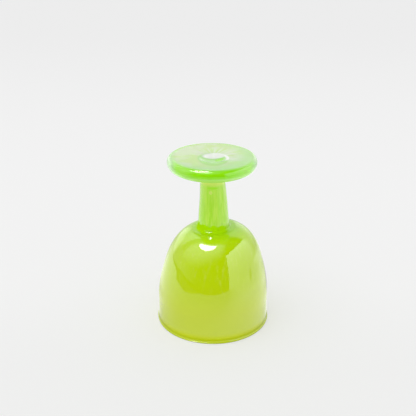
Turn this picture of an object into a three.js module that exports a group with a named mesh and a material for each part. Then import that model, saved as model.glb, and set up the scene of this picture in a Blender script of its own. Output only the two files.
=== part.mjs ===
// A stemmed drinking glass of cased glass, standing upside down on its rim.
// Millimetres, +Z up. The origin is the centre of the rim plane, and the foot is on top.
import * as THREE from "three";

// Bowl, outside: a straight wall, a soft knee, a sloping side and a rounded crown.
const rimRadius = 42;
const wallHeight = 20.5;
const kneeRise = 10.8; // from the end of the straight wall to the knee's corner
const bendRise = 21.2; // from the knee's corner to the end of its rounding
const shoulderRise = 19.1; // from there to the shoulder's corner
const shoulderInset = 12; // how far the sloping side leans in
const crownRise = 4; // from the shoulder's corner to the edge of the neck

// Layers of the bowl: a coloured casing over an opal lining.
const casingWall = 1.5;
const casingCrown = 3.4;
const liningWall = 1.1;
const liningCrown = 2.2;

// Lip: a clear bead of casing glass below the end of the lining.
const liningSetback = 3.2;
const beadHeight = 3.6;
const beadSwell = 0.75;
const lipRounding = 0.9;

// Stem: a green sleeve over an opal rod, tapering towards the foot.
const stemBowlRadius = 11.4;
const stemFootRadius = 8.9;
const stemLength = 32.5;
const sleeveWall = 2.4;
const neckFillet = 5;

// Foot: a thick disc with a rounded edge and a polished dimple in its resting face.
const footRadius = 32.6;
const footFillet = 4;
const footRise = 1.8; // how much the disc thickens from its edge to the stem
const lowerEdgeReach = 8.3;
const lowerEdgeHeight = 6.1;
const upperEdgeReach = 3.3;
const upperEdgeHeight = 4.2;
const dimpleRadius = 10;
const dimpleDepth = 2.4;

// Fusing line left between neighbouring pieces, and the fineness of the facets.
const seam = 0.3;
const segments = 48;
const curveSteps = 6;
const lipSteps = 3;

// Heights of the bowl's corners, and the radius where the crown meets the neck.
const kneeHeight = wallHeight + kneeRise;
const bendHeight = kneeHeight + bendRise;
const shoulderHeight = bendHeight + shoulderRise;
const crownHeight = shoulderHeight + crownRise;
const shoulderRadius = rimRadius - shoulderInset;
const crownRadius = stemBowlRadius + neckFillet;
const bendShare = bendRise / (bendRise + shoulderRise);

// A profile point: distance from the axis and height above the rim plane.
const at = (radius, height) => new THREE.Vector2(radius, height);

// The corner between two straight runs, rounded off by a quadratic curve.
function rounded(start, corner, end, steps = curveSteps) {
  return new THREE.QuadraticBezierCurve(start, corner, end).getPoints(steps);
}

// A stretch of an ellipse, turning anticlockwise from one angle to the other.
function ellipseArc(centre, reach, height, fromAngle, toAngle) {
  const arc = new THREE.EllipseCurve(centre.x, centre.y, reach, height, fromAngle, toAngle);
  return arc.getPoints(curveSteps);
}

// One surface of the bowl, upwards from the straight wall to the edge of the crown. It lies `depth`
// inside the outer wall and `drop` below the outer crown, so that the layers nest.
function bowlSide(depth, drop) {
  const wallTop = at(rimRadius - depth, wallHeight);
  const knee = at(rimRadius - depth, kneeHeight);
  const shoulder = at(shoulderRadius - depth, shoulderHeight - drop);
  const bendEnd = knee.clone().lerp(shoulder, bendShare);
  const crownEdge = at(crownRadius, crownHeight - drop);
  return [...rounded(wallTop, knee, bendEnd), ...rounded(bendEnd, shoulder, crownEdge).slice(1)];
}

// Height of the crown's slope, carried on inwards from its edge to a smaller radius.
function crownSlopeAt(radius, depth, drop) {
  const slope = crownRise / (shoulderRadius - depth - crownRadius);
  return crownHeight - drop + slope * (crownRadius - radius);
}

// An inner surface of the bowl, carried on over the middle of the crown to the axis.
function bowlDome(depth, drop) {
  const side = bowlSide(depth, drop);
  const capRadius = crownRadius / 2;
  const apexHeight = crownSlopeAt(capRadius, depth, drop);
  const cap = rounded(side.at(-1), at(capRadius, apexHeight), at(0, apexHeight));
  return [...side, ...cap.slice(1)];
}

// The coloured casing: lip, outer wall and crown, drawn up into a short neck with a flat seat.
const neckCorner = at(stemBowlRadius, crownSlopeAt(stemBowlRadius, 0, 0));
const bowlSeatHeight = neckCorner.y + neckFillet;
const innerWallRadius = rimRadius - casingWall - liningWall;

function casingProfile() {
  const liningBed = bowlDome(casingWall, casingCrown).reverse();
  const bedEdge = at(rimRadius - casingWall, liningSetback);
  const ledgeEdge = at(innerWallRadius, liningSetback);
  const insideLip = rounded(
    at(innerWallRadius, lipRounding), at(innerWallRadius, 0),
    at(innerWallRadius + lipRounding, 0), lipSteps);
  const beadRadius = rimRadius + beadSwell;
  const outsideLip = rounded(
    at(beadRadius - lipRounding, 0), at(beadRadius, 0), at(beadRadius, lipRounding), lipSteps);
  const beadTop = rounded(
    at(beadRadius, lipRounding), at(rimRadius, lipRounding), at(rimRadius, beadHeight), lipSteps);
  const outside = bowlSide(0, 0);
  const neck = rounded(outside.at(-1), neckCorner, at(stemBowlRadius, bowlSeatHeight));
  return [
    ...liningBed, bedEdge, ledgeEdge, ...insideLip, ...outsideLip, ...beadTop.slice(1),
    ...outside, ...neck.slice(1), at(0, bowlSeatHeight),
  ];
}

// The opal lining: a thin shell against the casing, ending on the ledge above the clear lip.
function liningProfile() {
  const lowerEdge = liningSetback + seam;
  const inside = bowlDome(casingWall + liningWall, casingCrown + liningCrown).reverse();
  const outside = bowlDome(casingWall + seam, casingCrown + seam);
  return [
    ...inside, at(innerWallRadius, lowerEdge), at(rimRadius - casingWall - seam, lowerEdge), ...outside,
  ];
}

// The stem stands on the neck's seat. Its sleeve and rod are cut square and flush at both ends.
const stemStart = bowlSeatHeight + seam;
const stemEnd = stemStart + stemLength;

function sleeveProfile() {
  const boreEnd = at(stemBowlRadius - sleeveWall, stemStart);
  return [
    boreEnd, at(stemBowlRadius, stemStart), at(stemFootRadius, stemEnd),
    at(stemFootRadius - sleeveWall, stemEnd), boreEnd.clone(),
  ];
}

function coreProfile() {
  const inset = sleeveWall + seam;
  return [
    at(0, stemStart), at(stemBowlRadius - inset, stemStart),
    at(stemFootRadius - inset, stemEnd), at(0, stemEnd),
  ];
}

// The foot: seat on the stem, fillet, sloping face, rounded edge, flat resting face and dimple.
function footProfile() {
  const seatHeight = stemEnd + seam;
  const slopeStart = stemFootRadius + footFillet;
  const slopeEnd = footRadius - lowerEdgeReach;
  const slope = footRise / (slopeEnd - stemFootRadius);
  const filletCorner = at(stemFootRadius, seatHeight + footFillet);
  const fillet = rounded(
    at(stemFootRadius, seatHeight), filletCorner, at(slopeStart, filletCorner.y + slope * footFillet));

  const widestHeight = filletCorner.y + footRise + lowerEdgeHeight;
  const lowerStart = Math.atan(slope * lowerEdgeReach / lowerEdgeHeight) - Math.PI / 2;
  const lowerEdge = ellipseArc(
    at(slopeEnd, widestHeight), lowerEdgeReach, lowerEdgeHeight, lowerStart, 0);
  const upperEdge = ellipseArc(
    at(footRadius - upperEdgeReach, widestHeight), upperEdgeReach, upperEdgeHeight, 0, Math.PI / 2);

  const restHeight = widestHeight + upperEdgeHeight;
  const ballRadius = (dimpleRadius ** 2 + dimpleDepth ** 2) / (2 * dimpleDepth);
  const ballCentre = at(0, restHeight - dimpleDepth + ballRadius);
  const dimpleAngle = Math.asin(dimpleRadius / ballRadius);
  const dimple = ellipseArc(ballCentre, ballRadius, ballRadius, -Math.PI / 2, dimpleAngle - Math.PI / 2);
  dimple[0].x = 0;
  return [at(0, seatHeight), ...fillet, ...lowerEdge, ...upperEdge.slice(1), ...dimple.reverse()];
}

// A named piece turned about the axis of the glass.
function turned(name, profile, material) {
  const piece = new THREE.Mesh(new THREE.LatheGeometry(profile, segments), material);
  piece.name = name;
  return piece;
}

const glass = (color, opacity) => new THREE.MeshStandardMaterial({
  color, opacity, transparent: opacity < 1, roughness: 0.08, metalness: 0,
});
const limeGlass = glass(0xb9d41e, 0.7);
const opalGlass = glass(0xf3f6ec, 1);
const greenGlass = glass(0x9fe05a, 0.55);
const footGlass = glass(0x96e84c, 0.45);

// Profiles turn about the Y axis, so the whole glass is stood up along Z.
const goblet = new THREE.Group();
goblet.rotation.x = Math.PI / 2;
goblet.add(
  turned("bowl_casing", casingProfile(), limeGlass),
  turned("bowl_lining", liningProfile(), opalGlass),
  turned("stem_sleeve", sleeveProfile(), greenGlass),
  turned("stem_core", coreProfile(), opalGlass),
  turned("foot_disc", footProfile(), footGlass),
);

export default goblet;
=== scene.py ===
import math
import bpy
import numpy as np
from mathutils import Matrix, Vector


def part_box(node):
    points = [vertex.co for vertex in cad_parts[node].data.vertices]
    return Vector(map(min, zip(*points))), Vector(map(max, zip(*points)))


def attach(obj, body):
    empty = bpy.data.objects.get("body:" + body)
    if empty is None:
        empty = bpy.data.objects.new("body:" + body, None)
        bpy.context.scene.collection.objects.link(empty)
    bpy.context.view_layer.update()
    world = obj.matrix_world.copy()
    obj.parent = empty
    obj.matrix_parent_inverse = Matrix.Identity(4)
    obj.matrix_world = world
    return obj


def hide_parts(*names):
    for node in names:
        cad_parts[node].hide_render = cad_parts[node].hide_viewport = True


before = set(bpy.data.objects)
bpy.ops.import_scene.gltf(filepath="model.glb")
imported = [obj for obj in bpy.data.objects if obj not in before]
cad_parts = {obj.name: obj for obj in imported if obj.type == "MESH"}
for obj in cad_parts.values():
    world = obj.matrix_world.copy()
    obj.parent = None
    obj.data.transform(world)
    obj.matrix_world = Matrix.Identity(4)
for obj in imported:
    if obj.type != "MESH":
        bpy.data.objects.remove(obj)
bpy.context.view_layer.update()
scene = bpy.context.scene
scene.view_settings.view_transform = "Standard"
mm = 0.001
print("frame loaded:", sorted(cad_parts))


# Shader maths: one socket of a node tree, with operators that add Math nodes.
class Shade:
    def __init__(self, tree, socket=None):
        self.tree = tree
        self.socket = socket

    def feed(self, node, inputs):
        # the values or links of a node's sockets
        for key, value in inputs.items():
            if isinstance(value, Shade):
                self.tree.links.new(value.socket, node.inputs[key])
            else:
                node.inputs[key].default_value = value

    def add(self, kind, settings=None, inputs=None, output=0):
        # any node: settings first, then the values or links of its sockets
        node = self.tree.nodes.new(kind)
        for key, value in (settings or {}).items():
            if key == "stops":
                fillRamp(node.color_ramp, value)
            else:
                setattr(node, key, value)
        self.feed(node, inputs or {})
        return Shade(self.tree, node.outputs[output])

    def math(self, operation, first, second):
        return self.add("ShaderNodeMath", {"operation": operation}, {0: first, 1: second})

    def __add__(self, other):
        return self.math("ADD", self, other)

    def __radd__(self, other):
        return self.math("ADD", other, self)

    def __sub__(self, other):
        return self.math("SUBTRACT", self, other)

    def __rsub__(self, other):
        return self.math("SUBTRACT", other, self)

    def __mul__(self, other):
        return self.math("MULTIPLY", self, other)

    def __rmul__(self, other):
        return self.math("MULTIPLY", other, self)

    def __truediv__(self, other):
        return self.math("DIVIDE", self, other)

    def __pow__(self, other):
        return self.math("POWER", self, other)

    def larger(self, other):
        return self.math("MAXIMUM", self, other)

    def rise(self, low, high):
        # 0 at low and 1 at high, with a soft start and end; high may be the smaller one
        inputs = {"Value": self, "From Min": low, "From Max": high}
        return self.add("ShaderNodeMapRange", {"interpolation_type": "SMOOTHSTEP"}, inputs)

    def blend(self, first, second):
        # colours mixed by this value; a plain colour is given as red, green and blue
        colours = [one if isinstance(one, Shade) else (*one, 1) for one in (first, second)]
        inputs = {"Factor": self, 6: colours[0], 7: colours[1]}
        return self.add("ShaderNodeMix", {"data_type": "RGBA"}, inputs, 2)

    def mixed(self, first, second):
        # shaders mixed by this value
        return self.add("ShaderNodeMixShader", None, {0: self, 1: first, 2: second})

    def split(self):
        # x, y and z of a vector
        node = self.add("ShaderNodeSeparateXYZ", None, {0: self}).socket.node
        return [Shade(self.tree, out) for out in node.outputs]

    def stretched(self, scale):
        # coordinates multiplied by a vector, for patterns drawn out along one axis
        return self.add("ShaderNodeVectorMath", {"operation": "MULTIPLY"}, {0: self, 1: scale})

    def noise(self, scale, detail=2.0, roughness=0.5):
        inputs = {"Vector": self, "Scale": scale, "Detail": detail, "Roughness": roughness}
        return self.add("ShaderNodeTexNoise", None, inputs)


def fillRamp(ramp, stops):
    while len(ramp.elements) < len(stops):
        ramp.elements.new(0.5)
    for element, (place, colour) in zip(ramp.elements, stops):
        element.position = place
        element.color = (*colour, 1.0)


def newMaterial(name):
    # a material, its Object coordinates, its surface node and its output node
    material = bpy.data.materials.new(name)
    material.use_nodes = True
    nodes = material.node_tree.nodes
    here = Shade(material.node_tree).add("ShaderNodeTexCoord", None, None, "Object")
    return material, here, nodes["Principled BSDF"], nodes["Material Output"]


def placeOf(here):
    # x, y, z and the distance from the axis, in millimetres
    x, y, z = [part / mm for part in here.split()]
    return x, y, z, (x * x + y * y) ** 0.5


def drawnOut(here, stretch, scale, detail, low, high, roughness=0.5):
    # noise drawn out along the axis: 0 up to low and 1 from high on
    return here.stretched((1, 1, stretch)).noise(scale, detail, roughness).rise(low, high)


def wavering(here, least, spread, scale):
    # roughness that changes a little from place to place
    return least + spread * here.noise(scale)


def bumpOf(wave, strength, distance):
    return wave.add("ShaderNodeBump", None, {"Strength": strength, "Distance": distance, "Height": wave})


def patchOf(axes, zones):
    # product of soft steps: each zone is an axis, where the step starts and where it is full
    patch, *others = [axes[axis].rise(start, full) for axis, start, full in zones]
    for step in others:
        patch = patch * step
    return patch


# Profiles are arrays of (radius, height) in millimetres.
def runOf(start, end, steps):
    # straight run: start + t (end - start)
    t = np.linspace(0, 1, steps)[:, None]
    return np.array(start) + t * (np.array(end) - np.array(start))


def bendOf(start, corner, end, steps):
    # quadratic curve: (1-t)^2 start + 2t(1-t) corner + t^2 end
    t = np.linspace(0, 1, steps)[:, None]
    return (1 - t) ** 2 * np.array(start) + 2 * t * (1 - t) * np.array(corner) + t ** 2 * np.array(end)


def arcOf(centre, reach, height, fromAngle, toAngle, steps):
    # stretch of an ellipse: centre + (reach cos a, height sin a)
    a = np.linspace(fromAngle, toAngle, steps)
    return np.column_stack([centre[0] + reach * np.cos(a), centre[1] + height * np.sin(a)])


def smooth(low, high, value):
    # soft step from 0 at low to 1 at high: t^2 (3 - 2t)
    t = np.clip((value - low) / (high - low), 0, 1)
    return t * t * (3 - 2 * t)


# The hand-made lean of the glass, in millimetres, shared by every piece so that the joins stay closed.
# Pairs of heights, reaches and sides are where a soft step starts and where it is full.
handMade = {
    "bowlLean": 0.65, "bowlHeights": (20, 55),  # sideways
    "stemReturn": -0.35, "stemHeights": (70, 90),
    "footReturn": -1.1, "footHeights": (95, 125),
    "rightSwell": 0.5, "swellSide": (0, 30),  # the bowl is fuller on the right
    "swellFrom": (25, 45), "swellTo": (74, 58),
    "crownTilt": 0.055, "tiltFrom": (46, 70), "tiltTo": (80, 100),  # rise for each millimetre to the right
    "oval": 0.10, "ovalTurn": 0.7, "threeLobe": 0.06, "lobeTurn": -1.1, "roundReach": 40,  # out of round
    "dimpleShift": (0.6, -3.6),  # the dimple lies a little to the front
    "dimpleReach": (17, 9), "dimpleHeights": (126, 129),
    "dropPlace": (-2.1, -18.1, 75.1), "dropWidth": 0.95, "dropHeight": 1.0,  # a drop of glass on the crown
}


def leanOver(points):
    # x gains soft steps along the height, z gains a tilt of the crown, the radius gains cos 2a and
    # cos 3a, and the crown gains one low bell: height * exp(-(apart / width)^2 / 2)
    x, y, z = points.T
    h = handMade
    angle = np.arctan2(y, x)
    radius = np.hypot(x, y)
    ripple = h["oval"] * np.cos(2 * angle + h["ovalTurn"])
    ripple = ripple + h["threeLobe"] * np.cos(3 * angle + h["lobeTurn"])
    grow = 1 + ripple * smooth(0, h["roundReach"], radius) / h["roundReach"]
    lean = h["bowlLean"] * smooth(*h["bowlHeights"], z) + h["stemReturn"] * smooth(*h["stemHeights"], z)
    lean = lean + h["footReturn"] * smooth(*h["footHeights"], z)
    swell = smooth(*h["swellFrom"], z) * smooth(*h["swellTo"], z) * smooth(*h["swellSide"], x)
    lean = lean + h["rightSwell"] * swell
    inDimple = smooth(*h["dimpleReach"], radius) * smooth(*h["dimpleHeights"], z)
    lean = lean + h["dimpleShift"][0] * inDimple
    forward = h["dimpleShift"][1] * inDimple
    tilt = h["crownTilt"] * smooth(*h["tiltFrom"], z) * (1 - smooth(*h["tiltTo"], z))
    apart = np.linalg.norm(points - h["dropPlace"], axis=1)
    drop = h["dropHeight"] * np.exp(-(apart / h["dropWidth"]) ** 2 / 2)
    return np.column_stack([x * grow + lean, y * grow + forward, z + tilt * x + drop])


sharpAngle = 40  # degrees between faces, past which an edge is shown sharp
nearAxis = 1e-6  # profile points closer to the axis than this are poles


def turnedPiece(name, profile, sides):
    # surface of revolution: (r cos a, r sin a, z) for each profile point and angle; ends on the axis
    # are poles, and a profile without them is a closed ring
    r, z = profile.T
    twist = np.dot(r, np.roll(z, -1)) - np.dot(np.roll(r, -1), z)
    if twist < 0:  # turned round, so that the faces point outwards
        profile = profile[::-1]
        r, z = profile.T
    onAxis = r < nearAxis
    rings = profile[~onAxis]
    angle = np.arange(sides) * 2 * np.pi / sides
    ringR = rings[:, 0][:, None]
    ringZ = np.broadcast_to(rings[:, 1][:, None], (len(rings), sides))
    grid = np.stack([ringR * np.cos(angle), ringR * np.sin(angle), ringZ], -1).reshape(-1, 3)
    poles = np.column_stack([np.zeros(onAxis.sum()), np.zeros(onAxis.sum()), z[onAxis]])

    index = np.arange(len(rings) * sides).reshape(len(rings), sides)
    if not onAxis.any():
        index = np.vstack([index, index[:1]])
    ahead = np.roll(index, -1, axis=1)
    quads = np.stack([index[:-1], ahead[:-1], ahead[1:], index[1:]], -1).reshape(-1, 4)
    faces = quads.tolist()
    if onAxis.any():
        firstPole = len(grid)
        ends = [(index[0], ahead[0], firstPole, True), (index[-1], ahead[-1], firstPole + 1, False)]
        for ring, following, pole, atStart in ends:
            tip = np.full(sides, pole)
            order = [following, ring, tip] if atStart else [ring, following, tip]
            faces += np.column_stack(order).tolist()

    mesh = bpy.data.meshes.new(name)
    mesh.from_pydata((leanOver(np.vstack([grid, poles])) * mm).tolist(), [], faces)
    mesh.shade_smooth()
    mesh.set_sharp_from_angle(angle=math.radians(sharpAngle))
    piece = bpy.data.objects.new(name, mesh)
    scene.collection.objects.link(piece)
    return piece


def standsFor(piece, node, material):
    piece.data.materials.append(material)
    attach(piece, "root")
    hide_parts(node)
    print("made", piece.name, "with", len(piece.data.polygons), "faces")


def nodeSize(node):
    # radius, lowest and highest point of a node, in millimetres
    low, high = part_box(node)
    return (high.x - low.x) / 2 / mm, low.z / mm, high.z / mm


# Bowl: the lime casing over an opal lining.
bowl = {
    "beadSwell": 0.75, "beadHeight": 3.6, "lipRounding": 0.9,
    "wallHeight": 20.5, "kneeHeight": 31.3, "bendShare": 0.526,
    "shoulderInset": 12.0, "shoulderHeight": 71.6, "crownHeight": 75.6,
    "stemRadius": 11.4, "neckFillet": 5.0, "neckRounding": 1.0, "neckFlare": 0.5, "neckFlat": 0.4,
    "casingWall": 1.5, "casingCrown": 3.4, "casingSides": 240,
    "liningWall": 1.1, "liningCrown": 2.2, "liningSetback": 3.2, "liningGap": 0.05, "liningSides": 160,
}
beadRadius, _, bowlTop = nodeSize("bowl_casing")
rimRadius = beadRadius - bowl["beadSwell"]


def bowlSide(depth, drop):
    # straight wall, then two quadratic curves: knee and shoulder
    b = bowl
    wall = rimRadius - depth
    knee = np.array([wall, b["kneeHeight"]])
    shoulder = np.array([wall - b["shoulderInset"], b["shoulderHeight"] - drop])
    bendEnd = knee + b["bendShare"] * (shoulder - knee)
    crownEdge = (b["stemRadius"] + b["neckFillet"], b["crownHeight"] - drop)
    lower = bendOf((wall, b["wallHeight"]), knee, bendEnd, steps=32)
    return np.vstack([lower, bendOf(bendEnd, shoulder, crownEdge, steps=48)[1:]])


def crownSlopeAt(radius, depth, drop):
    # height of the crown's slope, carried on inwards from its edge
    b = bowl
    edge = b["stemRadius"] + b["neckFillet"]
    slope = (b["crownHeight"] - b["shoulderHeight"]) / (rimRadius - b["shoulderInset"] - depth - edge)
    return b["crownHeight"] - drop + slope * (edge - radius)


def bowlDome(depth, drop):
    # the side, carried on over the crown to the axis
    side = bowlSide(depth, drop)
    cap = side[-1][0] / 2
    apex = crownSlopeAt(cap, depth, drop)
    return np.vstack([side, bendOf(side[-1], (cap, apex), (0, apex), steps=16)[1:]])


def unit(vector):
    return vector / np.linalg.norm(vector)


def casingProfile():
    # bed of the lining, ledge, lip, wall and crown, then a tight corner and the neck's flared collar
    b = bowl
    inner = rimRadius - b["casingWall"] - b["liningWall"]
    bed = bowlDome(b["casingWall"], b["casingCrown"])[::-1]
    ledge = [(rimRadius - b["casingWall"], b["liningSetback"]), (inner, b["liningSetback"])]
    lip = b["lipRounding"]
    insideLip = bendOf((inner, lip), (inner, 0), (inner + lip, 0), steps=8)
    outsideLip = bendOf((beadRadius - lip, 0), (beadRadius, 0), (beadRadius, lip), steps=8)
    beadTop = bendOf((beadRadius, lip), (rimRadius, lip), (rimRadius, b["beadHeight"]), steps=12)
    wall = runOf((rimRadius, b["beadHeight"]), (rimRadius, b["wallHeight"]), steps=12)
    outside = bowlSide(0, 0)
    neckRadius = b["stemRadius"] + b["neckFlare"]
    crownRise = crownSlopeAt(neckRadius, 0, 0) - b["crownHeight"]
    neckCorner = np.array([neckRadius, b["crownHeight"] + crownRise * b["neckFlat"]])
    neckTop = np.array([b["stemRadius"], bowlTop])
    bendStart = neckCorner + unit(outside[-1] - neckCorner) * b["neckRounding"]
    bendEnd = neckCorner + unit(neckTop - neckCorner) * b["neckRounding"]
    slope = runOf(outside[-1], bendStart, steps=8)
    neck = bendOf(bendStart, neckCorner, bendEnd, steps=16)
    collar = runOf(bendEnd, neckTop, steps=8)
    return np.vstack([bed, ledge, insideLip, outsideLip, beadTop[1:], wall[1:], outside[1:],
                      slope[1:], neck[1:], collar[1:], [(0, bowlTop)]])


def liningProfile():
    # a thin shell from its lower edge to the axis, inside and outside
    b = bowl
    low = nodeSize("bowl_lining")[1]
    inside = bowlDome(b["casingWall"] + b["liningWall"], b["casingCrown"] + b["liningCrown"])[::-1]
    outside = bowlDome(b["casingWall"] + b["liningGap"], b["casingCrown"] + b["liningGap"])
    edge = [(inside[-1][0], low), (outside[0][0], low)]
    return np.vstack([inside, edge, outside])


def drawnMilk(here):
    # milky streaks drawn out along the stem, thicker towards the foot: partly the glass's own milk, partly
    # painted light that lifts the shade under the foot
    look = {
        "clear": (0.46, 0.90, 0.003), "milk": (0.63, 0.97, 0.075),
        "fine": {"stretch": 0.05, "scale": 900.0, "detail": 3.0, "low": 0.42, "high": 0.66},
        "broad": {"stretch": 0.10, "scale": 280.0, "detail": 2.0, "low": 0.43, "high": 0.61},
        "fineShare": 0.55, "broadShare": 0.45, "topShare": 0.4, "topHeights": (94, 108),
    }
    height = placeOf(here)[2]
    streaks = drawnOut(here, **look["fine"]) * look["fineShare"]
    streaks = streaks + drawnOut(here, **look["broad"]) * look["broadShare"]
    # the rise towards the foot is partly painted light under the foot
    milk = streaks + look["topShare"] * height.rise(*look["topHeights"])
    return milk.blend(look["clear"], look["milk"])


# The clear glass over the opal takes more of the light where it is seen at a slant.
clearLayer = {
    "Coat Weight": 1.0, "Coat IOR": 1.03, "Coat Roughness": 0.02, "Coat Tint": (0.945, 0.948, 0.94, 1),
}


def softSpot(here, place, reach):
    # 1 inside an ellipse of x and z on the front, falling softly to 0 outside it
    spot = {"edge": (1.4, 0.5), "front": (0, -2)}
    x, y, z = placeOf(here)[:3]
    apart = ((x - place[0]) / reach[0]) ** 2.0 + ((z - place[1]) / reach[1]) ** 2.0
    return apart.rise(*spot["edge"]) * y.rise(*spot["front"])


def limeGlass():
    # cased opal: greener towards the neck, with an olive line in the lip where the lining ends, darker as
    # painted shade, a light line above it that is a painted highlight, and the stem's glass over the neck;
    # bands are at shares of the span
    look = {
        # ledge is the painted highlight on the bead's top; olive is where the lining ends, darkened as
        # painted shade
        "lip": (0.615, 0.74, 0.010), "olive": (0.60, 0.715, 0.003), "ledge": (0.69, 0.80, 0.013),
        "wall": (0.625, 0.747, 0.009), "knee": (0.59, 0.747, 0.006), "side": (0.584, 0.783, 0.005),
        "shoulder": (0.57, 0.804, 0.002), "crown": (0.58, 0.87, 0.005), "neck": (0.46, 0.845, 0.001),
        "span": 85.0,
        "bands": [(0.0, "lip"), (0.014, "lip"), (0.024, "olive"), (0.036, "olive"), (0.046, "ledge"),
                  (0.065, "ledge"), (0.09, "wall"), (0.26, "wall"), (0.42, "knee"), (0.56, "side"),
                  (0.78, "shoulder"), (0.86, "crown"), (0.93, "neck")],
        "milk": (0.75, 0.86, 0.15), "milkShare": 0.40, "milkHeights": (31, 50), "milkReach": (19, 28),
        "streaks": {"stretch": 0.10, "scale": 420.0, "detail": 3.0, "low": 0.48, "high": 0.78},
        "wisps": {"stretch": 0.35, "scale": 90.0, "detail": 2.0, "low": 0.40, "high": 0.70},
        "wispShare": 0.7,
        "neckHeights": (80.6, 81.6), "raggedHeight": 6.0, "raggedScale": 330.0,
        "gloss": {"least": 0.018, "spread": 0.02, "scale": 160.0},
        "waveScale": 55.0, "waveStrength": 0.05, "waveDistance": 0.001,
        "jointReach": (14.4, 13.2), "jointHeights": (75, 75.5), "jointSide": (11.5, 8.5),
        "glintPlace": (-3.2, 76.6), "glintReach": (3.0, 1.0),
    }
    material, here, surface, result = newMaterial("lime_glass")
    x, _, height, radius = placeOf(here)
    share = height / look["span"]
    stops = [(place, look[band]) for place, band in look["bands"]]
    body = share.add("ShaderNodeValToRGB", {"stops": stops}, {"Fac": share})
    wisps = (1 - look["wispShare"]) + look["wispShare"] * drawnOut(here, **look["wisps"])
    milk = drawnOut(here, **look["streaks"]) * wisps * height.rise(*look["milkHeights"])
    milk = milk * radius.rise(*look["milkReach"]) * look["milkShare"]
    cased = milk.blend(body, look["milk"])
    ragged = height + (here.noise(look["raggedScale"], detail=3.0) - 0.5) * look["raggedHeight"]
    overNeck = ragged.rise(*look["neckHeights"])
    colour = overNeck.blend(cased, drawnMilk(here))
    bump = bumpOf(here.noise(look["waveScale"], detail=1.0), look["waveStrength"], look["waveDistance"])
    rough = wavering(here, **look["gloss"])
    sockets = {"Base Color": colour, "Roughness": rough, "Normal": bump, "IOR": 1.62}
    here.feed(surface, {**sockets, **clearLayer})
    # the ring where the stem was stuck on is dull, apart from a glint and its right end
    dull = here.add("ShaderNodeBsdfPrincipled", None,
                    {"Base Color": colour, "Roughness": 0.6, "Specular IOR Level": 0.0})
    joint = radius.rise(*look["jointReach"]) * height.rise(*look["jointHeights"]) * (1 - overNeck)
    joint = joint * (1 - softSpot(here, look["glintPlace"], look["glintReach"]))
    joint = joint * x.rise(*look["jointSide"])
    polished = Shade(here.tree, surface.outputs[0])
    here.feed(result, {"Surface": joint.mixed(polished, dull)})
    return material


def opalGlass():
    # dense white glass with a faint cloud in it
    look = {
        "shade": (0.82, 0.88, 0.74), "light": (0.88, 0.91, 0.82), "cloudScale": 70.0, "cloud": (0.3, 0.7),
        "gloss": {"least": 0.09, "spread": 0.05, "scale": 200.0},
    }
    material, here, surface = newMaterial("opal_glass")[:3]
    cloud = here.noise(look["cloudScale"], detail=3.0).rise(*look["cloud"])
    colour = cloud.blend(look["shade"], look["light"])
    here.feed(surface, {"Base Color": colour, "Roughness": wavering(here, **look["gloss"]), "IOR": 1.5})
    return material


opal = opalGlass()
bowlCasing = turnedPiece("bowlCasing", casingProfile(), bowl["casingSides"])
standsFor(bowlCasing, "bowl_casing", limeGlass())
bowlLining = turnedPiece("bowlLining", liningProfile(), bowl["liningSides"])
standsFor(bowlLining, "bowl_lining", opal)


# Stem: a milky green sleeve over an opal rod.
stem = {"footRadius": 8.9, "sleeveWall": 2.4, "overlap": 0.4, "coreGap": 0.05, "sides": 96}
stemRadius, stemLow, stemHigh = nodeSize("stem_sleeve")


def stemOutline(inset, extra):
    # straight taper from the neck to the foot
    low = (stemRadius - inset, stemLow - extra)
    high = (stem["footRadius"] - inset, stemHigh + extra)
    return runOf(low, high, steps=40)


def greenGlass():
    # streaked glass with a pale collar under the foot, which is painted light that comes through the foot,
    # and two flaws: a seed and a bubble
    look = {
        # the collar is painted light on the stem's top, under the foot
        "collar": (0.84, 1.0, 0.16), "collarHeights": (110.2, 113.4),
        "seed": (0.47, 0.95, 0.002), "seedPlace": (-0.2, 110.0), "seedReach": (4.0, 0.9),
        "bubble": (0.76, 0.96, 0.16), "bubblePlace": (-1.8, 106.6), "bubbleReach": (1.3, 1.4),
        "gloss": {"least": 0.03, "spread": 0.03, "scale": 160.0},
    }
    material, here, surface = newMaterial("green_glass")[:3]
    height = placeOf(here)[2]
    # the pale collar: painted light
    body = height.rise(*look["collarHeights"]).blend(drawnMilk(here), look["collar"])
    for flaw in ("seed", "bubble"):
        spot = softSpot(here, look[flaw + "Place"], look[flaw + "Reach"])
        body = spot.blend(body, look[flaw])
    sockets = {"Base Color": body, "Roughness": wavering(here, **look["gloss"]), "IOR": 1.55}
    here.feed(surface, {**sockets, **clearLayer})
    return material


sleeveOut = stemOutline(0, stem["overlap"])
sleeveIn = stemOutline(stem["sleeveWall"], stem["overlap"])[::-1]
stemSleeve = turnedPiece("stemSleeve", np.vstack([sleeveOut, sleeveIn]), stem["sides"])
standsFor(stemSleeve, "stem_sleeve", greenGlass())
rod = stemOutline(stem["sleeveWall"] + stem["coreGap"], 0)
rodEnds = [(0, rod[0][1])], [(0, rod[-1][1])]
stemCore = turnedPiece("stemCore", np.vstack([rodEnds[0], rod, rodEnds[1]]), stem["sides"])
standsFor(stemCore, "stem_core", opal)


# Foot: a thick disc of clear green glass with a polished dimple.
foot = {
    "fillet": 4.0, "rise": 1.8, "sides": 160,
    "lowerReach": 8.3, "lowerHeight": 6.1, "upperReach": 3.3, "upperHeight": 4.2,
    "dimpleRadius": 10.0, "dimpleDepth": 2.4, "dimpleEdge": 0.8,
}
footRadius, footLow, footHigh = nodeSize("foot_disc")


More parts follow.
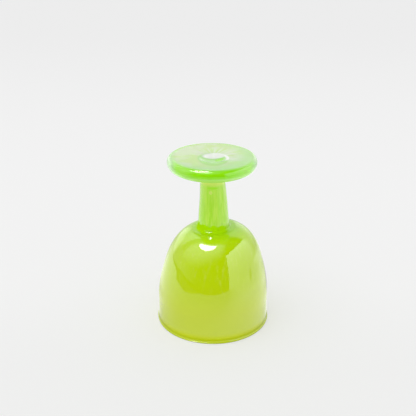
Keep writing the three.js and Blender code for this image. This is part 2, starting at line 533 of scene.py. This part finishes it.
def footProfile():
    # fillet, sloping face, an edge of two ellipses, flat face, and the dimple as an arc of a ball
    f = foot
    seat = stem["footRadius"]
    slopeEnd = footRadius - f["lowerReach"]
    slope = f["rise"] / (slopeEnd - seat)
    corner = (seat, footLow + f["fillet"])
    filletEnd = (corner[0] + f["fillet"], corner[1] + slope * f["fillet"])
    fillet = bendOf((seat, footLow), corner, filletEnd, steps=20)
    widest = footHigh - f["upperHeight"]
    start = math.atan(slope * f["lowerReach"] / f["lowerHeight"]) - math.pi / 2
    lower = arcOf((slopeEnd, widest), f["lowerReach"], f["lowerHeight"], start, 0, steps=32)
    slopeRun = runOf(filletEnd, lower[0], steps=10)
    upperCentre = (footRadius - f["upperReach"], widest)
    upper = arcOf(upperCentre, f["upperReach"], f["upperHeight"], 0, math.pi / 2, steps=24)
    ball = (f["dimpleRadius"] ** 2 + f["dimpleDepth"] ** 2) / (2 * f["dimpleDepth"])
    ballHeight = footHigh - f["dimpleDepth"] + ball
    rimAngle = math.asin(f["dimpleRadius"] / ball)
    dimple = arcOf((0, ballHeight), ball, ball, rimAngle - math.pi / 2, -math.pi / 2, steps=32)
    inner = dimple[dimple[:, 0] < f["dimpleRadius"] - f["dimpleEdge"]]
    inner[-1][0] = 0
    edgeStart = (f["dimpleRadius"] + f["dimpleEdge"], footHigh)
    edge = bendOf(edgeStart, (f["dimpleRadius"], footHigh), inner[0], steps=8)
    face = runOf(upper[-1], edgeStart, steps=10)
    return np.vstack([[(0, footLow)], fillet, slopeRun[1:], lower[1:], upper[1:],
                      face[1:], edge[1:], inner[1:]])


def dimpleMarks(here):
    # masks of a green pool and a deep spot in it, painted shade and a painted view of the stem's end
    # through the glass, and a white cloud on its far wall, a painted highlight, with white rays that run
    # outwards; across and along are millimetres from its middle, to the right and to the back
    mark = {
        "place": (0.3, -4.2), "top": (127.5, 128.5), "pool": (12.5, 10.5),
        "eyePlace": (4.1, 0.6), "eyeReach": 3.4, "eyeEdge": (1.3, 0.5),
        "longReach": (9.5, 13.5), "nearShare": 0.62,
        "nearArc": [("long", 0.62, 0.95), ("long", 1.3, 1.05), ("along", -4.0, -9.0)],
        "rayScale": 6.0, "rayRange": (0.42, 0.64), "rayShare": 0.75, "raySlant": 0.6,
        "rayZones": [("radius", 24, 12), ("apart", 10.0, 12.0), ("slant", -6.0, 4.0)],
        "farWall": [("apart", 12.2, 9.8), ("along", 3.2, 5.4), ("across", -10.0, -6.0)],
        "rimLine": [("apart", 8.2, 9.6), ("apart", 12.0, 10.6)],
        "rightCurl": [("across", 5.0, 8.0), ("along", -6.0, -2.0)],
        "backCurl": [("along", -1.5, 0.5), ("across", -7.0, 0.0)],
    }
    x, y, height, radius = placeOf(here)
    across = x - mark["place"][0]
    along = y - mark["place"][1]
    apart = (across * across + along * along) ** 0.5
    long = ((across / mark["longReach"][0]) ** 2.0 + (along / mark["longReach"][1]) ** 2.0) ** 0.5
    slant = y + mark["raySlant"] * x
    axes = {"across": across, "along": along, "apart": apart, "long": long,
            "radius": radius, "slant": slant}
    onTop = height.rise(*mark["top"])
    inPool = apart.rise(*mark["pool"]) * onTop
    # the deep spot and the near arc: painted shade and a painted view of the stem's end
    eyeAcross = ((across - mark["eyePlace"][0]) / mark["eyeReach"]) ** 2.0
    eyeAlong = ((along - mark["eyePlace"][1]) / mark["eyeReach"]) ** 2.0
    deepSpot = (eyeAcross + eyeAlong).rise(*mark["eyeEdge"])
    deepSpot = deepSpot.larger(mark["nearShare"] * patchOf(axes, mark["nearArc"])) * onTop
    flat = here.stretched((1, 1, 0))
    outward = here.add("ShaderNodeVectorMath", {"operation": "NORMALIZE"}, {0: flat})
    rays = outward.noise(mark["rayScale"], detail=3.0).rise(*mark["rayRange"])
    rays = rays * patchOf(axes, mark["rayZones"])
    curl = patchOf(axes, mark["rightCurl"]).larger(patchOf(axes, mark["backCurl"]))
    curl = curl * patchOf(axes, mark["rimLine"])
    # the cloud is a painted highlight on the far wall and the rim, with the white rays
    cloud = patchOf(axes, mark["farWall"]).larger(curl).larger(mark["rayShare"] * rays) * onTop
    return inPool, deepSpot, cloud


def footGlass():
    # clear green glass with a milky veil in it: pale on the face, deep at the edge, white round the
    # dimple; heights, reaches and sides are where a soft step starts and is full, in millimetres
    look = {
        "face": (0.82, 0.92, 0.61), "lemon": (0.70, 0.91, 0.34), "veilScale": 60.0, "veil": (0.42, 0.60),
        "faceHeights": (127.0, 131.0), "faceReach": (31.5, 27.0),
        "deep": (0.50, 0.88, 0.31), "deepShare": 0.85, "deepCentre": (-6.5, 6.0), "deepReach": (18, 35),
        "edge": (0.35, 0.95, 0.004), "under": (0.54, 0.99, 0.17), "underHeights": (126.6, 124.6),
        "flank": (0.44, 0.98, 0.085), "flankSide": (12, 22),
        "ends": (0.54, 0.84, 0.40), "endsSide": (25, 31),
        "belly": (0.40, 0.85, 0.005), "bellyHeights": (122.5, 120.5), "bellyReach": (29, 25),
        # pool and eye are painted shade and a painted view of the stem's end; cloud is a painted highlight
        "pool": (0.44, 0.79, 0.26), "eye": (0.33, 0.82, 0.05), "cloud": (0.96, 0.97, 0.93),
        "milkiness": 0.72, "edgeMilk": 0.13, "poolMilk": 0.16, "cloudMilk": 0.94,
        "clear": (0.985, 1.0, 0.97), "wispy": (0.95, 0.99, 0.92),
        "wisps": {"stretch": 1.6, "scale": 85.0, "detail": 3.0, "roughness": 0.6, "low": 0.45,
                  "high": 0.75},
        "gloss": {"least": 0.01, "spread": 0.02, "scale": 120.0}, "waveScale": 70.0, "waveHeight": 0.00004,
        "depthColour": (0.66, 0.948, 0.0, 1), "depthDensity": 58.0,
    }
    material, here, clear, result = newMaterial("foot_glass")
    x, y, height, radius = placeOf(here)
    onFace = height.rise(*look["faceHeights"]) * radius.rise(*look["faceReach"])
    veil = here.noise(look["veilScale"]).rise(*look["veil"])
    face = veil.blend(look["face"], look["lemon"])
    # the colour deepens towards the rim, most towards the front and right
    offCentre = ((x - look["deepCentre"][0]) ** 2.0 + (y - look["deepCentre"][1]) ** 2.0) ** 0.5
    face = (look["deepShare"] * offCentre.rise(*look["deepReach"])).blend(face, look["deep"])
    edge = height.rise(*look["underHeights"]).blend(look["edge"], look["under"])
    sideways = (x * x) ** 0.5
    for side in ("flank", "ends"):
        edge = sideways.rise(*look[side + "Side"]).blend(edge, look[side])
    body = onFace.blend(edge, face)
    belly = height.rise(*look["bellyHeights"]) * radius.rise(*look["bellyReach"])
    # painted shade, the stem's end and a painted highlight round the dimple
    inPool, deepSpot, cloud = dimpleMarks(here)
    for name, mask in (("belly", belly), ("pool", inPool), ("eye", deepSpot), ("cloud", cloud)):
        body = mask.blend(body, look[name])
    wave = look["waveHeight"] * here.noise(look["waveScale"], detail=1.0)
    bump = bumpOf(wave, strength=1.0, distance=1.0)
    rough = wavering(here, **look["gloss"])
    glassColour = drawnOut(here, **look["wisps"]).blend(look["clear"], look["wispy"])
    here.feed(clear, {"Base Color": glassColour, "Roughness": rough, "Normal": bump,
                      "IOR": 1.38, "Coat Weight": 0.4, "Transmission Weight": 1.0})
    milky = here.add("ShaderNodeBsdfPrincipled", None,
                     {"Base Color": body, "Roughness": rough, "Normal": bump, "IOR": 1.46})
    share = look["milkiness"] + look["edgeMilk"] * (1 - onFace) + look["poolMilk"] * inPool
    share = share.larger(look["cloudMilk"] * cloud).larger(belly)
    # absorption per metre that leaves (0.82, 0.97, 0.56) of the light after 10 mm
    depth = here.add("ShaderNodeVolumeAbsorption", None,
                     {"Color": look["depthColour"], "Density": look["depthDensity"]})
    seeThrough = Shade(here.tree, clear.outputs[0])
    here.feed(result, {"Surface": share.mixed(seeThrough, milky), "Volume": depth})
    return material


footDisc = turnedPiece("footDisc", footProfile(), foot["sides"])
standsFor(footDisc, "foot_disc", footGlass())


# Stage: a pale floor, a pale surround, and cards that only the gloss sees.
stage = {
    "pale": 0.872, "ambient": 0.80,  # what the eye sees, and the even fill of matt light
    "glossTop": 4.0,  # the most that floor and panel give in the gloss
    "key": 0.17, "keySpread": 45, "keyAim": (0.35, 0.2, -1),
}


def glowOf(level, top):
    # light of a level between 0 and top, carried by the colour of the emission
    grey = (level / top).blend((0, 0, 0), (1, 1, 1))
    return level.add("ShaderNodeEmission", None, {"Color": grey, "Strength": top})


def rayKinds(here):
    # which rays see the surface: the eye's, those through glass, and the gloss's
    names = {"eye": "Is Camera Ray", "glass": "Is Transmission Ray", "gloss": "Is Glossy Ray"}
    return {kind: here.add("ShaderNodeLightPath", None, None, name) for kind, name in names.items()}


def stageCard(name, corners, lookFrom):
    # a flat card of the stage; lookFrom makes its shader from Object coordinates
    mesh = bpy.data.meshes.new(name)
    mesh.from_pydata(corners.tolist(), [], [list(range(len(corners)))])
    card = bpy.data.objects.new(name, mesh)
    scene.collection.objects.link(card)
    material, here, surface, result = newMaterial(name)
    here.tree.nodes.remove(surface)
    here.feed(result, {"Surface": lookFrom(here)})
    mesh.materials.append(material)
    return card


# The floor, in metres. Zones and ends are where a soft step starts and where it is full, with the
# axis first in a list of several steps.
floor = {
    "size": 8.0, "below": 0.00005, "colour": (0.90, 0.90, 0.90, 1), "shadowShare": 0.45,
    # tone for the eye, painted shade: a little darker to the back and to the front, and even far away
    "tone": 0.05, "backTone": 0.096, "backZone": (0.2, 1.3), "frontTone": 0.05, "frontZone": (0.06, -0.08),
    "toneReach": (2.6, 1.7),
    # in the gloss it ends at the front, on the left and across the far left corner
    "frontEnd": (-0.67, -0.63), "leftEnd": (-0.03, 0.03), "leftPlace": 0.345,
    "leftStep": 0.09, "leftStepZone": (-0.2, -0.1), "beyond": 0.14,
    "cornerEnd": [("corner", -0.6863, -0.5863), ("y", -0.06, 0.0)],
    # it is brighter on the right and on the left, in lobes about these directions
    "rightSlant": (0.8, 0.6), "rightInner": 0.6, "rightInnerZone": (-0.07, 0.02),
    "rightOuter": 0.5, "rightOuterZone": (0.0, 0.09),
    "rightWay": (0.559, -0.829), "rightWayZone": (-0.3, 0.2),
    "rightFade": 0.3, "rightFadeZone": (0.16, 0.26),
    "leftWay": (-0.866, 0.5), "leftStart": 0.35, "leftPower": 1.8, "leftBackZone": (0.92, 0.72),
    "leftFade": 0.12, "leftFadeZone": (0.15, 0.25), "leftNear": 0.15, "leftNearZone": (0.06, 0.17),
    "frontDim": 0.18, "frontDimZone": (-0.1, -0.35),
    "backStrip": 0.45, "backStripZones": [("y", 0.09, 0.14), ("y", 0.32, 0.22), ("x", 0.03, 0.08)],
    # it is dark round the lip and behind it, a painted contact shadow, and has one dull patch on the right
    "lipShift": 0.008, "lipZone": (0.046, 0.0545),
    "lipDims": [(0.25, [("away", 0.072, 0.05), ("y", -0.03, 0.0)]),
                (0.38, [("away", 0.115, 0.08), ("y", 0.0, 0.05)])],
    "patchPlace": (0.44, -0.045), "patchReach": (0.13, 0.028), "patchEdge": (1.3, 0.5), "patchDim": 0.55,
}


def floorInGloss(x, y, away):
    # level of light that the gloss sees: ends * (1 + lobes) * contact * patch
    f = floor
    ahead = y / away
    axes = {"x": x, "y": y, "away": away, "corner": x + y}
    fromLeftEnd = x + f["leftPlace"] + f["leftStep"] * y.rise(*f["leftStepZone"])
    ends = patchOf(axes, f["cornerEnd"]).larger(fromLeftEnd.rise(*f["leftEnd"])).larger(f["beyond"])
    ends = ends * y.rise(*f["frontEnd"])

    across = f["rightSlant"][0] * x + f["rightSlant"][1] * y
    right = f["rightInner"] * across.rise(*f["rightInnerZone"])
    right = right + f["rightOuter"] * across.rise(*f["rightOuterZone"])
    right = right * ((f["rightWay"][0] * x + f["rightWay"][1] * y) / away).rise(*f["rightWayZone"])
    right = right * (1 - f["rightFade"] * away.rise(*f["rightFadeZone"]))
    towardsLeft = (f["leftWay"][0] * x + f["leftWay"][1] * y) / away
    left = ((towardsLeft - f["leftStart"]) / (1 - f["leftStart"])).larger(0.0) ** f["leftPower"]
    left = left * ahead.rise(*f["leftBackZone"]) * (1 - f["leftFade"] * away.rise(*f["leftFadeZone"]))
    near = (1 - f["leftNear"]) + f["leftNear"] * away.rise(*f["leftNearZone"])
    sides = 1.0 + right + left * near - f["frontDim"] * y.rise(*f["frontDimZone"])
    sides = sides + f["backStrip"] * patchOf(axes, f["backStripZones"])

    # painted contact shadow round the lip, in the floor's gloss level
    contact = (away + f["lipShift"] * (1 + ahead)).rise(*f["lipZone"])
    for dim, zones in f["lipDims"]:
        contact = contact * (1 - dim * patchOf(axes, zones))
    patchAcross = ((x - f["patchPlace"][0]) / f["patchReach"][0]) ** 2.0
    patchAlong = ((y - f["patchPlace"][1]) / f["patchReach"][1]) ** 2.0
    patch = (patchAcross + patchAlong).rise(*f["patchEdge"])
    return ends * sides * contact * (1 - f["patchDim"] * patch)


def floorLook(here):
    # an even glow toned by painted shade, with a share of real shadow for the eye, plain matt in soft
    # light, and levels of its own in the gloss
    f = floor
    rays = rayKinds(here)
    x, y = here.split()[:2]
    away = (x * x + y * y) ** 0.5
    # painted shade on the floor's glow
    tone = f["tone"] - f["backTone"] * y.rise(*f["backZone"]) - f["frontTone"] * y.rise(*f["frontZone"])
    tone = tone * away.rise(*f["toneReach"])
    even = glowOf(stage["pale"] * (1 + tone), top=1.0)
    lit = here.add("ShaderNodeBsdfDiffuse", None, {"Color": f["colour"]})
    mirrored = glowOf(floorInGloss(x, y, away), stage["glossTop"])
    seen = rays["eye"].larger(rays["glass"]) * (1 - f["shadowShare"])
    return rays["gloss"].mixed(seen.mixed(lit, even), mirrored)


def paleFloor():
    half = floor["size"] / 2
    low = -floor["below"]
    corners = [(-half, -half, low), (half, -half, low), (half, half, low), (-half, half, low)]
    stageCard("paleFloor", np.array(corners), floorLook)


# The surround, by direction: x to the right, y to the back, z up. A patch has a level or a dimming
# and its soft steps, written as on the floor.
surround = {
    "ceilingDim": 0.7, "ceilingZone": (0.70, 0.90), "hazeSlant": (-0.35, 0.15),
    "haze": (1.9, [("slant", 0.25, 0.95), ("x", 0.44, 0.12)]),
    "gaps": [(0.65, [("y", 0.05, 0.18), ("y", 0.42, 0.36)]),
             (0.9, [("y", -0.25, -0.08), ("x", -0.05, 0.12)]),
             (0.9, [("x", -0.40, -0.34), ("y", 0.42, 0.5)])],
    "glows": {
        "back": (1.2, [("y", 0.6, 0.8), ("z", 0.65, 0.5)]),
        "rightBack": (1.42, [("y", 0.3, 0.5), ("x", 0.05, 0.3)]),
        "leftBack": (1.0, [("y", -0.1, 0.4), ("z", 0.14, 0.02), ("x", 0.0, -0.3)]),
        "leftSide": (0.8, [("y", -0.95, 0.05), ("x", -0.3, -0.9), ("z", 0.6, 0.3)]),
        "leftNeck": (2.4, [("y", 0.44, 0.62), ("z", 0.6, 0.3), ("x", -0.15, -0.4)]),
        "rightNeck": (1.8, [("y", 0.7, 0.85), ("z", 0.5, 0.35), ("x", 0.05, 0.2)]),
    },
}


def paleSurround():
    # pale for the eye and through glass, an even fill for matt light, and a dim studio in the gloss
    s = surround
    world = bpy.data.worlds.new("paleSurround")
    world.use_nodes = True
    here = Shade(world.node_tree).add("ShaderNodeTexCoord", None, None, "Generated")
    rays = rayKinds(here)
    x, y, z = here.split()
    axes = {"x": x, "y": y, "z": z, "slant": z + s["hazeSlant"][0] * x + s["hazeSlant"][1] * y}
    level, zones = s["haze"]
    studio = level * patchOf(axes, zones)
    for dim, zones in s["gaps"]:
        studio = studio * (1 - dim * patchOf(axes, zones))
    for level, zones in s["glows"].values():
        studio = studio.larger(level * patchOf(axes, zones))
    ceiling = 1 - s["ceilingDim"] * z.rise(*s["ceilingZone"])
    seen = rays["eye"] + rays["glass"] * ceiling
    unseen = rays["gloss"] * studio + (1 - rays["gloss"]) * stage["ambient"]
    direct = rays["eye"].larger(rays["glass"])
    strength = seen * stage["pale"] + (1 - direct) * unseen
    here.feed(world.node_tree.nodes["Background"], {"Color": (1, 1, 1, 1), "Strength": strength})
    scene.world = world


def studioLights():
    # a broad sun from the softbox's side, for the matt light alone
    lamp = bpy.data.lights.new("softKey", "SUN")
    lamp.energy = math.pi * stage["key"]
    lamp.angle = math.radians(stage["keySpread"])
    key = bpy.data.objects.new("softKey", lamp)
    key.rotation_euler = Vector(stage["keyAim"]).to_track_quat("-Z", "Y").to_euler()
    key.visible_glossy = False
    key.visible_transmission = False
    scene.collection.objects.link(key)


def glossCard(name, corners, lookFrom):
    # a flat card that only the gloss sees
    card = stageCard(name, corners, lookFrom)
    for ray in ("camera", "diffuse", "transmission", "shadow"):
        setattr(card, "visible_" + ray, False)


def softboxInGloss():
    # two ellipses overhead: (centre + reach cos a, centre + reach sin a); the near one has a round scoop
    box = {
        "height": 0.70, "corners": 96, "scoopCentre": (0.06, 0.33), "scoopRadius": 0.52,
        "near": {"centre": (-0.205, -0.15), "reach": (0.225, 0.23), "radiance": 20.0},
        "far": {"centre": (-0.13, 0.06), "reach": (0.10, 0.08), "radiance": 40.0},
    }
    angle = np.arange(box["corners"]) * 2 * np.pi / box["corners"]
    for half in ("near", "far"):
        part = box[half]
        x = part["centre"][0] + part["reach"][0] * np.cos(angle)
        y = part["centre"][1] + part["reach"][1] * np.sin(angle)
        if half == "near":
            scoop = np.sqrt(box["scoopRadius"] ** 2 - (x - box["scoopCentre"][0]) ** 2)
            y = np.minimum(y, box["scoopCentre"][1] - scoop)
        corners = np.column_stack([x, y, np.full(len(x), box["height"])])
        glow = {"Strength": part["radiance"]}
        glossCard(half + "Softbox", corners, lambda here: here.add("ShaderNodeEmission", None, glow))


def rightPanel():
    # an upright card on the right that only the gloss sees, brighter towards its top
    card = {
        "facing": 62,  # degrees from the front towards the right
        "away": 0.60, "near": -0.35, "far": 1.25, "nearTop": 0.58, "farTop": 0.86,
        "low": 1.55, "high": 3.3, "farDim": 0.5, "farZone": (0.2, 0.75),
    }
    facing = math.radians(card["facing"])
    away = np.array([math.sin(facing), -math.cos(facing), 0]) * card["away"]
    along = np.array([math.cos(facing), math.sin(facing), 0])
    near = away + along * card["near"]
    far = away + along * card["far"]
    nearUp = np.array([0, 0, card["nearTop"]])
    farUp = np.array([0, 0, card["farTop"]])

    def panelGlow(here):
        y, height = here.split()[1:]
        upward = 1 - (1 - height / card["nearTop"]).larger(0.0)
        level = card["low"] + (card["high"] - card["low"]) * upward
        return glowOf(level * (1 - card["farDim"] * y.rise(*card["farZone"])), stage["glossTop"])

    glossCard("rightPanel", np.array([near, far, far + farUp, near + nearUp]), panelGlow)


paleFloor()
paleSurround()
studioLights()
softboxInGloss()
rightPanel()
print("stage set")


# Camera: the photograph's view.
view = {"lens": 63.95, "sensor": 36.0, "nearest": 0.01,
        "distance": 0.546, "elevation": 23.6, "aim": (-0.0037, 0.0, 0.0907)}
lens = bpy.data.cameras.new("photoCamera")
lens.lens = view["lens"]
lens.sensor_width = view["sensor"]
lens.clip_start = view["nearest"]
eye = bpy.data.objects.new("photoCamera", lens)
rise = math.radians(view["elevation"])
outward = Vector((0, -math.cos(rise), math.sin(rise)))
eye.location = Vector(view["aim"]) + outward * view["distance"]
eye.rotation_euler = (-outward).to_track_quat("-Z", "Y").to_euler()
scene.collection.objects.link(eye)
scene.camera = eye
print("camera set")
